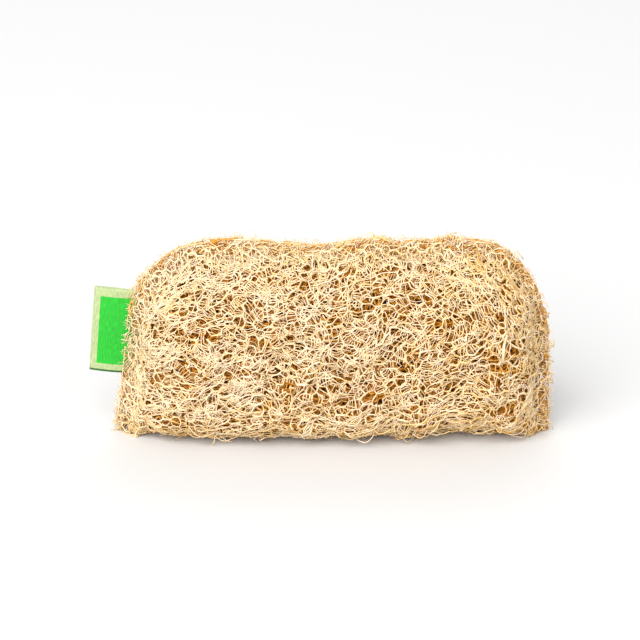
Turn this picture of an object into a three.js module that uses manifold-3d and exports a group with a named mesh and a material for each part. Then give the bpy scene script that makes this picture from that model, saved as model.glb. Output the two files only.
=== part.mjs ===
// A natural loofah sponge for the kitchen, as a three.js scene graph in millimetres.
// It is one piece of flattened loofah, folded over along its straight lower side and sewn shut along its
// left, top and right sides, so it is a pillow with a D-shaped front that stands on its wide fold.
// +Z is up, +X runs along the sponge and the front faces -Y. The origin is the middle of the flat spot that
// the sponge stands on.

import * as THREE from "three";
import { mergeVertices } from "three/addons/utils/BufferGeometryUtils.js";
import Module from "manifold-3d";

// Outline of the front, seen along Y: straight below, rounded at the top left and top right
const LENGTH = 152;
const HEIGHT = 71;
const LEFT = { lean: 5, cornerX: 32, cornerZ: 32 };
const RIGHT = { lean: 0.5, cornerX: 27, cornerZ: 37 };

// Pillow: half thicknesses, and how far in from the seam each rounding reaches
const MIDDLE_HALF = 18.8;
const SEAM_HALF = 1.2;
const BLUNT_REACH = 18;
const BELLY_REACH = 62;
const CROWN_REACH = 30;
const BLUNT_SHARE = 0.7;

// Fold below: its radius, also as a share of a thin end's half thickness, how much rounder it is along one
// stretch right of the middle, and how far it clears the ground outside the flat spot under the middle
const FOLD_RADIUS = 12;
const FOLD_SHARE = 0.9;
const ROUNDER = { x: 43, width: 12, more: 5 };
const FOOT_LIFT = 0.35;
const FOOT_SPOT = { x: 14, y: 6.5 };

// Low waves of the skin and one shallow upright crease
const LUMPS = { height: 0.8, along: 5, up: 2, slant: 0.2 };
const CREASE = { x: 18, width: 9, depth: 1.4 };

// The skin's table of points: columns along, rows round, and the steps of a column's panel and foot
const TABLE = { columns: 60, rows: 180, panel: 48, foot: 12, crowding: 1.5 };

// Flange: the flat strip of both layers outside the seam, with its frayed cut edge
const FLANGE_WIDTH = 5;
const FLANGE_HALF = 2.2;
const FLANGE_ROOT = 9;
const FRAY = { teeth: 84, out: 1.5, in: 0.7 };
const ROOT_STEPS = 48;

// Raised net of strands over the pillow, larger than life: cells along and around, and a strand's half width
// as a share of the way to its cell's middle. The relief fades in between two distances from the seam.
const NET = { along: 21, around: 24, jitter: 0.3, strand: 0.3 };
const RELIEF = { crest: 1.1, crestChange: 0.5, shoulder: -0.6, pit: -2.8 };
const RELIEF_FADE = { from: 2.5, to: 9 };
const SEED = 20;

// Seam: a lockstitch of two threads along the left, top and right sides, through one hole for each stitch
const SEAM_INSET = 3.9;
const STITCHES = 34;
const THREAD_RADIUS = 0.4;
const THREAD_SIDES = 5;
const NEEDLE_HOLE = { long: 3.4, wide: 1.6 };

// A stitch from hole to hole: shares of its length, and its heights as shares of the way up from the layers'
// middle to lying on the flange
const STITCH_SHARES = [0, 0.2, 0.5, 0.8, 1];
const STITCH_HEIGHTS = [0, 1, 1.08, 1, 0];

// Gap between pieces that touch
const CLEARANCE = 0.3;

// Ribbon tab, folded in half and caught in the left seam, from its inner end out
const TAB = { width: 31, length: 19.5, leaf: 0.45, gap: 0.4, innerX: -64.2, middleZ: 37.2, tiltDeg: 4 };
const TAB_FOLD_SEGMENTS = 8;

const COLOURS = { loofah: 0xe2c38c, thread: 0xf6ecdf, ribbon: 0xcfe6a4 };

// Closer corners than this are one, and directions along a line are taken over this share of it
const MERGE = 1e-4;
const TANGENT_STEP = 0.002;

const wasm = await Module();
wasm.setup();

// Seeded random numbers from -1 to 1
THREE.MathUtils.seededRandom(SEED);
const spread = () => 2 * THREE.MathUtils.seededRandom() - 1;

// A closed three.js geometry as a manifold-3d solid, facing out
function solidOf(geometry) {
  const bare = geometry.clone();
  bare.deleteAttribute("normal");
  bare.deleteAttribute("uv");
  const merged = mergeVertices(bare, MERGE);
  const triVerts = new Uint32Array(merged.index.array);
  const build = () =>
    new wasm.Manifold(
      new wasm.Mesh({ numProp: 3, vertProperties: merged.attributes.position.array, triVerts }),
    );
  const made = build();
  if (made.volume() > 0) return made;
  triVerts.reverse();
  return build();
}

function geometryOf(solid) {
  const mesh = solid.getMesh();
  const geometry = new THREE.BufferGeometry();
  geometry.setAttribute("position", new THREE.BufferAttribute(mesh.vertProperties, 3));
  geometry.setIndex(new THREE.BufferAttribute(mesh.triVerts, 1));
  geometry.computeVertexNormals();
  return geometry;
}

// The three sewn sides of the outline, pulled in by an inset: left and right run up from the base to the
// middle of their corner, and top runs from corner to corner
function outline(inset) {
  const half = LENGTH / 2 - inset;
  const height = HEIGHT - inset;
  const corner = (side, sign) => {
    const radiusX = side.cornerX - inset;
    const radiusZ = side.cornerZ - inset;
    const centre = [sign * (half - side.lean - radiusX), height - radiusZ];
    return { radiusX, radiusZ, centre };
  };
  const arc = ({ radiusX, radiusZ, centre }, from, to, clockwise) =>
    new THREE.EllipseCurve(...centre, radiusX, radiusZ, from, to, clockwise);
  const straight = (from, to) => new THREE.LineCurve(new THREE.Vector2(...from), new THREE.Vector2(...to));
  const path = (...curves) => {
    const made = new THREE.CurvePath();
    curves.forEach((curve) => made.add(curve));
    return made;
  };
  const a = corner(LEFT, -1);
  const b = corner(RIGHT, 1);
  const { PI } = Math;
  return {
    half,
    left: path(
      straight([-half, 0], [a.centre[0] - a.radiusX, a.centre[1]]),
      arc(a, PI, (3 * PI) / 4, true),
    ),
    top: path(
      arc(a, (3 * PI) / 4, PI / 2, true),
      straight([a.centre[0], height], [b.centre[0], height]),
      arc(b, PI / 2, PI / 4, true),
    ),
    right: path(
      straight([half, 0], [b.centre[0] + b.radiusX, b.centre[1]]),
      arc(b, 0, PI / 4, false),
    ),
  };
}

// The whole sewn side as one line, from the left foot round the top to the right foot: gives the point and
// the outward direction at a share u of its length
function sewnLine(inset) {
  const { left, top, right } = outline(inset);
  const lengths = [left, top, right].map((path) => path.getLength());
  const total = lengths[0] + lengths[1] + lengths[2];
  const at = (u) => {
    const d = THREE.MathUtils.clamp(u, 0, 1) * total;
    if (d < lengths[0]) return left.getPointAt(d / lengths[0]);
    if (d < lengths[0] + lengths[1]) return top.getPointAt((d - lengths[0]) / lengths[1]);
    return right.getPointAt((total - d) / lengths[2]);
  };
  return (u) => {
    const along = at(u + TANGENT_STEP).sub(at(u - TANGENT_STEP)).normalize();
    return { point: at(u), outward: new THREE.Vector2(-along.y, along.x) };
  };
}

// What a rule gives at even steps of 0 to 1, both ends included
function steps(count, rule) {
  return Array.from({ length: count + 1 }, (_, k) => rule(k / count, k));
}

// Rises from 0 at the seam to 1 at a reach inside it, as a quarter circle does
function rise(distance, reach) {
  const t = THREE.MathUtils.clamp(distance / reach, 0, 1);
  return Math.sqrt(1 - (1 - t) ** 2);
}

// Low waves over the pillow, and one shallow upright crease right of the middle
function unevenness(x, z) {
  const wave = (value, size, count) => Math.sin((2 * Math.PI * count * value) / size);
  const across = wave(z + LUMPS.slant * x, HEIGHT, LUMPS.up);
  const lumps = LUMPS.height * wave(x, LENGTH, LUMPS.along) * across;
  return lumps - CREASE.depth * Math.exp(-(((x - CREASE.x) / CREASE.width) ** 2));
}

// Half the pillow's thickness at p (0 left to 1 right) and q (0 base to 1 top), x along and z above the base
function halfThickness(p, q, x, z) {
  const between = LENGTH - 2 * FLANGE_WIDTH;
  const ends = (reach) => rise(p * between, reach) * rise((1 - p) * between, reach);
  const lengthwise = BLUNT_SHARE * ends(BLUNT_REACH) + (1 - BLUNT_SHARE) * ends(BELLY_REACH);
  const crown = rise((1 - q) * (HEIGHT - FLANGE_WIDTH), CROWN_REACH);
  const full = SEAM_HALF + (MIDDLE_HALF - SEAM_HALF + unevenness(x, z)) * crown * lengthwise;
  const rounder = ROUNDER.more * Math.exp(-(((x - ROUNDER.x) / ROUNDER.width) ** 2));
  const radius = Math.min(FOLD_RADIUS + rounder, FOLD_SHARE * full);
  return z < radius ? full - radius * (1 - Math.sqrt(1 - (1 - z / radius) ** 2)) : full;
}

// The pillow's smooth skin as a function of p, from 0 at the left seam to 1 at the right, and s, from 0 at
// the middle of the top round the front, the foot and the back to 1. Equal steps of s are equal lengths.
class Skin {
  constructor() {
    this.side = outline(FLANGE_WIDTH);
    this.table = steps(TABLE.columns, (p) => this.section(p));
  }

  // Coons patch between the four sides of the D: the sides' two straight blends, less the corners' blend
  flat(p, q) {
    const { half, left, top, right } = this.side;
    const base = new THREE.Vector2(half * (2 * p - 1), 0);
    const lengthwise = left.getPointAt(q).clone().lerp(right.getPointAt(q), p);
    const upright = base.clone().lerp(top.getPointAt(p), q);
    const corners = base.lerp(left.getPointAt(1).clone().lerp(right.getPointAt(1), p), q);
    return lengthwise.add(upright).sub(corners);
  }

  section(p) {
    const front = steps(TABLE.panel, (t) => {
      const q = (1 - t) ** TABLE.crowding;
      const { x, y: z } = this.flat(p, q);
      return new THREE.Vector3(x, -halfThickness(p, q, x, z), z);
    });
    const mirrored = (point) => new THREE.Vector3(point.x, -point.y, point.z);
    const edge = front[TABLE.panel];
    const foot = steps(TABLE.foot, (t) => edge.clone().lerp(mirrored(edge), t)).slice(1, -1);
    const topMiddle = front[0].clone().setY(0);
    return this.spaced([topMiddle, ...front, ...foot, ...front.map(mirrored).reverse(), topMiddle.clone()]);
  }

  // The same ring in rows of equal length
  spaced(ring) {
    const reached = [0];
    for (let k = 1; k < ring.length; k++) reached.push(reached[k - 1] + ring[k].distanceTo(ring[k - 1]));
    const total = reached[reached.length - 1];
    let k = 0;
    return Array.from({ length: TABLE.rows }, (_, j) => {
      const goal = (total * j) / TABLE.rows;
      while (reached[k + 1] < goal) k++;
      return ring[k].clone().lerp(ring[k + 1], (goal - reached[k]) / (reached[k + 1] - reached[k]));
    });
  }

  point(p, s) {
    const column = THREE.MathUtils.clamp(p, 0, 1) * TABLE.columns;
    const row = THREE.MathUtils.euclideanModulo(s, 1) * TABLE.rows;
    const i = Math.min(Math.floor(column), TABLE.columns - 1);
    const j = Math.floor(row) % TABLE.rows;
    const next = (j + 1) % TABLE.rows;
    const within = (list) => list[j].clone().lerp(list[next], row - Math.floor(row));
    return within(this.table[i]).lerp(within(this.table[i + 1]), column - i);
  }

  normal(p, s) {
    const step = 5 * TANGENT_STEP;
    const alongP = this.point(Math.min(p + step, 1), s).sub(this.point(Math.max(p - step, 0), s));
    const alongS = this.point(p, s + step).sub(this.point(p, s - step));
    return alongS.cross(alongP).normalize();
  }
}

const skin = new Skin();

// A point of the net at p and s, raised by the relief, which fades out where the pillow is thin at the seam
// and on the flat spot under the middle
function raised(p, s, height) {
  const point = skin.point(p, s);
  const underMiddle = point.z < FOOT_LIFT && Math.hypot(point.x / FOOT_SPOT.x, point.y / FOOT_SPOT.y) < 1;
  const seamward = THREE.MathUtils.smoothstep(Math.abs(point.y), RELIEF_FADE.from, RELIEF_FADE.to);
  const footward = point.z < FOLD_RADIUS ? 1 : 0;
  const endward = Math.min(p, 1 - p) * LENGTH > BLUNT_REACH ? 1 : 0;
  const share = underMiddle ? 0 : Math.max(seamward, footward * endward);
  point.addScaledVector(skin.normal(p, s), height * share);
  return point.setZ(Math.max(point.z, underMiddle ? 0 : FOOT_LIFT));
}

// The cells' middles, in staggered rings round the pillow, as unwrapped [p, s] pairs
function cellMiddles() {
  return Array.from({ length: NET.along + 1 }, (_, i) => {
    const atEnd = i === 0 || i === NET.along;
    return Array.from({ length: NET.around }, (_, j) => {
      const jitter = atEnd ? 0 : NET.jitter;
      return [(i + jitter * spread()) / NET.along, (j + (i % 2) / 2 + jitter * spread()) / NET.around];
    });
  });
}

// The pillow as a net: each cell is a pit, and where three cells meet a crest rises, so the edges that join
// the crests are the strands. Shoulders between crest and cell middle give the strands their width.
function pillow() {
  const rings = cellMiddles();
  const middle = (i, j) => {
    const [p, s] = rings[i][j % NET.around];
    return { i, j: j % NET.around, p, s: s + Math.floor(j / NET.around) };
  };
  const faces = [];
  for (let i = 0; i < NET.along; i++)
    for (let j = 0; j < NET.around; j++) {
      const [a, b, c, d] = [middle(i, j), middle(i, j + 1), middle(i + 1, j), middle(i + 1, j + 1)];
      faces.push(...(i % 2 ? [[a, d, c], [a, b, d]] : [[a, b, c], [b, d, c]]));
    }

  const positions = [];
  const triangle = (...points) => points.forEach((point) => positions.push(point.x, point.y, point.z));
  const pits = rings.map((ring) => ring.map(([p, s]) => raised(p, s, RELIEF.pit)));
  const pitOf = ({ i, j }) => pits[i][j];

  // Crest and shoulders of each face, kept by the pair of cells on each of its edges
  const edges = new Map();
  const keep = (from, to, entry) => edges.set(`${from.i},${from.j}>${to.i},${to.j}`, entry);
  for (const face of faces) {
    const p = (face[0].p + face[1].p + face[2].p) / 3;
    const s = (face[0].s + face[1].s + face[2].s) / 3;
    const crest = raised(p, s, RELIEF.crest + RELIEF.crestChange * spread());
    const shoulders = face.map((cell) =>
      raised(
        THREE.MathUtils.lerp(p, cell.p, NET.strand),
        THREE.MathUtils.lerp(s, cell.s, NET.strand),
        RELIEF.shoulder,
      ),
    );
    face.forEach((cell, k) => {
      const next = (k + 1) % 3;
      keep(cell, face[next], { crest, near: shoulders[k], far: shoulders[next] });
    });
  }

  // Each half of each strand: its slope from crest to shoulder, and the pit beside it
  for (const face of faces)
    face.forEach((cell, k) => {
      const to = face[(k + 1) % 3];
      const here = edges.get(`${cell.i},${cell.j}>${to.i},${to.j}`);
      const across = edges.get(`${to.i},${to.j}>${cell.i},${cell.j}`);
      if (!across) return;
      triangle(here.crest, here.near, across.far);
      triangle(here.crest, across.far, across.crest);
      triangle(pitOf(cell), across.far, here.near);
    });

  // The slits at both ends: each outermost face is closed plainly, and the ring between them is filled
  for (const face of faces)
    face.forEach((cell, k) => {
      const to = face[(k + 1) % 3];
      if (edges.has(`${to.i},${to.j}>${cell.i},${cell.j}`)) return;
      const here = edges.get(`${cell.i},${cell.j}>${to.i},${to.j}`);
      triangle(here.crest, here.near, here.far);
      triangle(here.near, pitOf(cell), pitOf(to));
      triangle(here.near, pitOf(to), here.far);
    });
  for (const i of [0, NET.along]) {
    const ring = pits[i];
    const filled = THREE.ShapeUtils.triangulateShape(
      ring.map((point) => new THREE.Vector2(point.y, point.z)),
      [],
    );
    for (const [a, b, c] of filled) triangle(ring[a], ring[i ? b : c], ring[i ? c : b]);
  }
  const geometry = new THREE.BufferGeometry();
  geometry.setAttribute("position", new THREE.Float32BufferAttribute(positions, 3));
  return solidOf(geometry);
}

// The flat strip outside the seam, with the ends of its cut strands as teeth
function flange() {
  const cut = sewnLine(0);
  const root = sewnLine(FLANGE_ROOT);
  const outer = steps(2 * FRAY.teeth, (u, k) => {
    const reach = (k % 2 ? FRAY.out : -FRAY.in) * Math.abs(spread());
    const { point, outward } = cut(u);
    point.addScaledVector(outward, reach);
    return point.setY(Math.max(point.y, FOOT_LIFT));
  });
  const inner = steps(ROOT_STEPS, (u) => {
    const { point } = root(u);
    return point.setY(Math.max(point.y, FOOT_LIFT));
  });
  const shape = new THREE.Shape([...outer, ...inner.reverse()]);
  const geometry = new THREE.ExtrudeGeometry(shape, { depth: 2 * FLANGE_HALF, bevelEnabled: false });
  geometry.translate(0, 0, -FLANGE_HALF);
  geometry.rotateX(Math.PI / 2);
  return solidOf(geometry);
}

// One thread of the lockstitch, on the front (side -1) or the back (side 1): it lies on the flange and dips
// at each needle hole to the middle of the layers, where it meets the other thread
class Stitches extends THREE.Curve {
  constructor(side) {
    super();
    this.side = side;
    this.line = sewnLine(SEAM_INSET);
    this.stepsEach = STITCH_SHARES.length - 1;
    this.steps = this.stepsEach * (STITCHES - 1);
  }

  getPoint(t) {
    const stitch = (t * this.steps) / this.stepsEach;
    const n = Math.min(Math.floor(stitch), STITCHES - 2);
    const step = (stitch - n) * this.stepsEach;
    const low = Math.min(Math.floor(step), this.stepsEach - 1);
    const within = (list) => THREE.MathUtils.lerp(list[low], list[low + 1], step - low);
    const dip = THREAD_RADIUS + CLEARANCE / 2;
    const over = FLANGE_HALF + CLEARANCE + THREAD_RADIUS;
    const height = THREE.MathUtils.lerp(dip, over, within(STITCH_HEIGHTS));
    const { point } = this.line((n + 0.5 + within(STITCH_SHARES)) / STITCHES);
    return new THREE.Vector3(point.x, this.side * height, point.y);
  }

  // Even steps of t, so that each step is one of the stitch's own points
  getPointAt(t) {
    return this.getPoint(t);
  }

  // Across each step's bend, half way between its two directions
  getTangentAt(t) {
    const reach = 1 / (4 * this.steps);
    return this.getPoint(Math.min(t + reach, 1)).sub(this.getPoint(Math.max(t - reach, 0))).normalize();
  }
}

function thread(side) {
  const section = new THREE.Shape(
    Array.from({ length: THREAD_SIDES }, (_, k) => {
      const angle = (2 * Math.PI * k) / THREAD_SIDES;
      return new THREE.Vector2(THREAD_RADIUS * Math.cos(angle), THREAD_RADIUS * Math.sin(angle));
    }),
  );
  const extrudePath = new Stitches(side);
  const options = { steps: extrudePath.steps, extrudePath, bevelEnabled: false };
  return solidOf(new THREE.ExtrudeGeometry(section, options));
}

// The holes that the threads pass through, long along the seam
function needleHoles() {
  const line = sewnLine(SEAM_INSET);
  return Array.from({ length: STITCHES }, (_, n) => {
    const { point, outward } = line((n + 0.5) / STITCHES);
    const through = 2 * FLANGE_HALF + 2 * CLEARANCE;
    const geometry = new THREE.BoxGeometry(NEEDLE_HOLE.long, through, NEEDLE_HOLE.wide);
    geometry.rotateY(Math.atan2(outward.x, outward.y));
    geometry.translate(point.x, 0, point.y);
    return solidOf(geometry);
  });
}

// Places what is drawn with its width along Z and its length along -X on the tab's own line
function placedAsTab(geometry) {
  geometry.rotateY(THREE.MathUtils.degToRad(TAB.tiltDeg));
  geometry.translate(TAB.innerX, 0, TAB.middleZ);
  return solidOf(geometry);
}

// The ribbon: two leaves joined by a round fold at the outer end, extruded across its width
function ribbon() {
  const outerRadius = TAB.leaf + TAB.gap / 2;
  const innerRadius = TAB.gap / 2;
  const foldX = -(TAB.length - outerRadius);
  const shape = new THREE.Shape();
  shape.moveTo(0, outerRadius);
  shape.lineTo(foldX, outerRadius);
  shape.absarc(foldX, 0, outerRadius, Math.PI / 2, -Math.PI / 2, false);
  shape.lineTo(0, -outerRadius);
  shape.lineTo(0, -innerRadius);
  shape.absarc(foldX, 0, innerRadius, -Math.PI / 2, Math.PI / 2, true);
  shape.lineTo(0, innerRadius);
  const options = { depth: TAB.width, bevelEnabled: false, curveSegments: TAB_FOLD_SEGMENTS };
  const geometry = new THREE.ExtrudeGeometry(shape, options);
  geometry.translate(0, 0, -TAB.width / 2);
  return placedAsTab(geometry);
}

// The room that the ribbon takes between the two layers of loofah
function ribbonSlot() {
  const length = TAB.length + 2 * CLEARANCE;
  const thickness = 2 * TAB.leaf + TAB.gap + 2 * CLEARANCE;
  const geometry = new THREE.BoxGeometry(length, thickness, TAB.width + 2 * CLEARANCE);
  geometry.translate(CLEARANCE - length / 2, 0, 0);
  return placedAsTab(geometry);
}

function mesh(name, solid, colour, roughness) {
  const material = new THREE.MeshStandardMaterial({ color: colour, roughness, metalness: 0 });
  const made = new THREE.Mesh(geometryOf(solid), material);
  made.name = name;
  return made;
}

const cut = (solid, cutter) => solid.subtract(cutter);
const holes = needleHoles();
const body = [ribbonSlot(), ...holes].reduce(cut, pillow().add(flange()));
const tab = holes.reduce(cut, ribbon());

const sponge = new THREE.Group();
sponge.name = "loofah_sponge";
sponge.add(mesh("luffa_body", body, COLOURS.loofah, 0.85));
sponge.add(mesh("label_tab", tab, COLOURS.ribbon, 0.5));
sponge.add(mesh("seam_thread_front", thread(-1), COLOURS.thread, 0.6));
sponge.add(mesh("seam_thread_back", thread(1), COLOURS.thread, 0.6));

export default sponge;
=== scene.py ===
# %% [markdown]
# # A natural loofah sponge
# A loofah is the fibre skeleton of a gourd. This one is flattened, folded over along its base and sewn
# shut round its other three sides, so it is a pillow with a D-shaped front. The script works out the
# CAD pillow's skin again by the formulas of its source, all but the foot, grows fibres over it as thin
# tubes, one layer above another, and adds the seam, the ribbon tab and the light. Sizes are in
# millimetres until a mesh is made.

import bpy
import numpy as np
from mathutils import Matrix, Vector


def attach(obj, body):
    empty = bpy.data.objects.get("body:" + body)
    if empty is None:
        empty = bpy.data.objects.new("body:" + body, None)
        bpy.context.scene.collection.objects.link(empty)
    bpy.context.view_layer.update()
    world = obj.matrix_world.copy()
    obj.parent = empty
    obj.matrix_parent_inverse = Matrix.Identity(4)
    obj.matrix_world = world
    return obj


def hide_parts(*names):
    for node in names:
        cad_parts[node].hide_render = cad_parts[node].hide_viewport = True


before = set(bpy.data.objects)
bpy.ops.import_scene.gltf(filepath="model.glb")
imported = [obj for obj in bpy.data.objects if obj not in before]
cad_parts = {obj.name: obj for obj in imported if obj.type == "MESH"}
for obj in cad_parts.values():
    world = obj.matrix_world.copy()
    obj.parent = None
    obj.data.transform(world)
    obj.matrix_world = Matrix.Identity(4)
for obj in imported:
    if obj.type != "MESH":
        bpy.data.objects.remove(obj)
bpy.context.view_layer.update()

# %% [markdown]
# ## The outline and the skin
# The front of the sponge is a D: straight below, and rounded at both upper corners. A Coons patch
# carries the coordinates p (0 left to 1 right) and q (0 base to 1 top) onto it.

# %% Outline
LENGTH, HEIGHT = 152, 71
LEFT_LEAN, LEFT_CORNER = 5, (32, 32)
RIGHT_LEAN, RIGHT_CORNER = 0.5, (27, 37)
FLANGE, SEAM_INSET = 5, 3.9


def unit(vectors):
    """Each vector divided by its length."""
    return vectors / (np.linalg.norm(vectors, axis=-1, keepdims=True) + 1e-12)


def bell(x, middle, width):
    """A bell curve of height 1: e to the power of minus the square of the distance over the width."""
    return np.exp(-(((x - middle) / width) ** 2))


def reaches(points):
    """The length of a polyline up to each of its points."""
    return np.concatenate([[0], np.cumsum(np.linalg.norm(np.diff(points, axis=0), axis=1))])


def along(points, t):
    """The point at a share t of a polyline's length: straight interpolation over the length reached."""
    reach = reaches(points)
    return np.stack([np.interp(np.asarray(t) * reach[-1], reach, c) for c in points.T], axis=-1)


def arc(centre, radii, start, end, count=60):
    """Points of an ellipse: centre plus the radii times the cosine and sine of the angle, in degrees."""
    angle = np.radians(np.linspace(start, end, count))
    return np.stack([centre[0] + radii[0] * np.cos(angle), centre[1] + radii[1] * np.sin(angle)], axis=1)


def sides(inset):
    """The left, top and right sides of the D pulled in by an inset: straights and quarter ellipses, cut
    at the middle of each corner."""
    half, height = LENGTH / 2 - inset, HEIGHT - inset
    (ax, az), (bx, bz) = [(rx - inset, rz - inset) for rx, rz in (LEFT_CORNER, RIGHT_CORNER)]
    a = (-half + LEFT_LEAN + ax, height - az)
    b = (half - RIGHT_LEAN - bx, height - bz)
    left = np.vstack([[[-half, 0]], arc(a, (ax, az), 180, 135)])
    top = np.vstack([arc(a, (ax, az), 135, 90), arc(b, (bx, bz), 90, 45)])
    right = np.vstack([[[half, 0]], arc(b, (bx, bz), 0, 45)])
    return left, top, right


def sewn_line(inset):
    """The three sewn sides as one polyline, from the left foot round the top to the right foot."""
    left, top, right = sides(inset)
    return np.vstack([left, top[1:-1], right[::-1]])


LEFT, TOP, RIGHT = sides(FLANGE)


def flat(p, q):
    """Coons patch: the blend of left and right by p, plus that of base and top by q, less the corners'."""
    p, q = np.broadcast_arrays(p, q)
    p, q = p[..., None], q[..., None]
    half = LENGTH / 2 - FLANGE
    base = np.concatenate([half * (2 * p - 1), 0 * p], axis=-1)
    lengthwise = (1 - p) * along(LEFT, q[..., 0]) + p * along(RIGHT, q[..., 0])
    upright = (1 - q) * base + q * along(TOP, p[..., 0])
    corners = (1 - q) * base + q * ((1 - p) * LEFT[-1] + p * RIGHT[-1])
    return lengthwise + upright - corners


print(f"Outline: {LENGTH} by {HEIGHT} mm, with a flange of {FLANGE} mm")


# %% [markdown]
# The pillow's half thickness rises from the seam as a quarter circle does, fast at first and then flat.
# Low waves and one upright crease break its evenness. The base turns under with a fold of 12 mm,
# rounder still along one stretch, and its front clears the table a little. The skin is kept as a table
# of points and normals, so that a fibre can be drawn flat, u mm across and v mm round, and then read
# onto it.

# %% Skin
MIDDLE_HALF, SEAM_HALF = 18.8, 1.2
BLUNT_REACH, BELLY_REACH, CROWN_REACH, BLUNT_SHARE = 18, 62, 30, 0.7
LUMP, LUMP_HALF_WAVES, LUMP_SLANT = 0.8, (10, 4), 0.2
CREASE, CREASE_X, CREASE_WIDTH = 1.4, 18, 9
FOLD_RADIUS, FOLD_SHARE = 12, 0.9
ROUNDER_X, ROUNDER_WIDTH, ROUNDER_MORE = 43, 12, 5
COLUMNS, ROWS, END_COLUMNS = 160, 480, 30
BELT_POINTS, BELT_Q = 400, 0.45
RING_POINTS, RING_POWER = 90, 1.2

# Lift of the base's front: all along between two fades, and more round one place
LOW_LIFT, LOW_LEFT, LOW_LEFT_FADE, LOW_RIGHT, LOW_RIGHT_FADE = 1.6, -70, 14, 78, 22
LIFT, LIFT_X, LIFT_WIDTH = 1.9, 42, 12
LIFT_TOP, LIFT_FRONT, LIFT_FRONT_FADE = 16, 3, 8


def rise(distance, reach):
    """Quarter circle from 0 to 1: the square root of 1 less the square of what is left of the reach."""
    return np.sqrt(1 - (1 - np.clip(distance / reach, 0, 1)) ** 2)


def half_thickness(p, q, x, z):
    """Seam thickness plus the middle's, times the crown's and both ends' rises, less the fold below."""
    between = LENGTH - 2 * FLANGE
    ends = lambda reach: rise(p * between, reach) * rise((1 - p) * between, reach)
    lengthwise = BLUNT_SHARE * ends(BLUNT_REACH) + (1 - BLUNT_SHARE) * ends(BELLY_REACH)
    across, up = LUMP_HALF_WAVES
    lumps = LUMP * np.sin(across * np.pi * x / LENGTH) * np.sin(up * np.pi * (z + LUMP_SLANT * x) / HEIGHT)
    middle = MIDDLE_HALF - SEAM_HALF + lumps - CREASE * bell(x, CREASE_X, CREASE_WIDTH)
    full = SEAM_HALF + middle * rise((1 - q) * (HEIGHT - FLANGE), CROWN_REACH) * lengthwise
    rounder = ROUNDER_MORE * bell(x, ROUNDER_X, ROUNDER_WIDTH)
    radius = np.minimum(FOLD_RADIUS + rounder, FOLD_SHARE * full)
    return full - radius * (1 - rise(z, radius))


fine = 0.5 - 0.5 * np.cos(np.linspace(0, np.pi, BELT_POINTS))
belt = flat(fine, BELT_Q + 0 * fine)
belt = np.column_stack([belt[:, 0], half_thickness(fine, BELT_Q + 0 * fine, *belt.T)])
reached = reaches(belt)
ACROSS = reached[-1]
columns_p = np.interp(np.linspace(0, ACROSS, COLUMNS + 1), reached, fine)


def ring(p):
    """One closed section at p: up the middle of the top, down the front, under the foot, up the back."""
    q = np.sin(np.linspace(np.pi / 2, 0, RING_POINTS)) ** RING_POWER
    x, z = flat(np.full_like(q, p), q).T
    w = half_thickness(p, q, x, z)
    front = np.column_stack([x, -w, z])
    back = (front * [1, -1, 1])[::-1]
    top = front[:1] * [1, 0, 1]
    return np.vstack([top, front, back, top])


sections = [ring(p) for p in columns_p]
POINTS = np.array([along(s, np.arange(ROWS) / ROWS) for s in sections])
x, y, z = np.moveaxis(POINTS, -1, 0)
near_base = np.clip(1 - z / LIFT_TOP, 0, 1) * np.clip((-y - LIFT_FRONT) / LIFT_FRONT_FADE, 0, 1)
lifted = LIFT * np.exp(-(((x - LIFT_X) / LIFT_WIDTH) ** 4))
from_left, from_right = (x - LOW_LEFT) / LOW_LEFT_FADE, (LOW_RIGHT - x) / LOW_RIGHT_FADE
lifted += LOW_LIFT * np.clip(from_left, 0, 1) * np.clip(from_right, 0, 1)
POINTS[..., 2] += near_base * lifted
middle_sections = sections[END_COLUMNS:-END_COLUMNS]
AROUND = np.mean([np.linalg.norm(np.diff(s, axis=0), axis=1).sum() for s in middle_sections])
round_step = np.roll(POINTS, -1, axis=1) - np.roll(POINTS, 1, axis=1)
NORMALS = unit(np.cross(round_step, np.gradient(POINTS, axis=0)))
print(f"Skin: {ACROSS:.0f} mm from seam to seam over the front and {AROUND:.0f} mm round the middle")


def read(table, u, v):
    """Bilinear reading of a table at u mm from the left seam and v mm round from the middle of the top."""
    column = np.clip(u / ACROSS, 0, 1) * COLUMNS
    row = (v / AROUND) % 1 * ROWS
    i = np.minimum(column.astype(int), COLUMNS - 1)
    j = np.minimum(row.astype(int), ROWS - 1)
    a, b = (column - i)[..., None], (row - j)[..., None]
    left, right = [(1 - b) * table[n, j] + b * table[n, (j + 1) % ROWS] for n in (i, i + 1)]
    return (1 - a) * left + a * right


# %% [markdown]
# ## Tubes
# Every fibre is a closed tube. All the tubes of a piece are made at once, as arrays: a ring of points
# round each point of each path, quads between the rings and a cap at each end. The fibres that
# show are about half a millimetre thick or less, so three sides are enough.

# %% Tubes and meshes
SIDES, TABLE_GAP = 3, 0.03


def waves(points, size, seed, count=7):
    """Smooth noise from about -1 to 1: a sum of sines in random directions, with wavelengths near size."""
    own = np.random.default_rng(seed)
    directions = unit(own.normal(size=(count, points.shape[-1]))) * own.uniform(0.6, 1.5, (count, 1))
    phase = points @ directions.T * (2 * np.pi / size) + own.uniform(0, 2 * np.pi, count)
    return np.sin(phase).sum(axis=-1) / np.sqrt(count / 2) / 1.5


def shares(steps):
    """Even shares of a path's length from 0 to 1, as a row."""
    return np.linspace(0, 1, steps + 1)[None, :]


def varied(own, value, spread, size):
    """A value times e to the power of normal draws."""
    return value * np.exp(own.normal(0, spread, size))


def linked(name, data):
    """A new object in the scene."""
    obj = bpy.data.objects.new(name, data)
    bpy.context.scene.collection.objects.link(obj)
    return obj


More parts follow.
